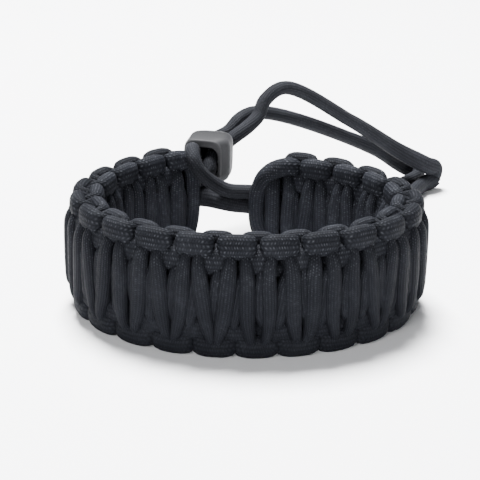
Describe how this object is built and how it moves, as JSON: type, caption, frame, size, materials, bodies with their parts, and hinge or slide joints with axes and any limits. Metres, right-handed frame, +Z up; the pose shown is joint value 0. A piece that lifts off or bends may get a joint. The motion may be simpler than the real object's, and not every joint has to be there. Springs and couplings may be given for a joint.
{
  "type": "paracord bracelet",
  "caption": "Wide black bracelet of cord in a thick cobra weave: an open oval band with a cord loop drawn through a plastic stopper where its ends nearly meet.",
  "frame": {"origin": "on the floor, under the middle of the woven band's box; the bracelet lies on its edge", "axes": "+X to the right seen from the front, +Y to the back where the band's ends and the loop are, +Z up along the wearer's wrist"},
  "size_m": [0.0985, 0.1166, 0.0363],
  "materials": {
    "band_cord": "braided nylon, black with a faint blue-grey cast",
    "loose_cord": "braided nylon, black with a faint blue-grey cast",
    "stopper_plastic": "matte moulded dark grey"
  },
  "bodies": {
    "root": {"woven_band": "band_cord", "bridge_strand": "loose_cord", "loop_cord": "loose_cord", "cord_stopper": "stopper_plastic"}
  },
  "joints": []
}
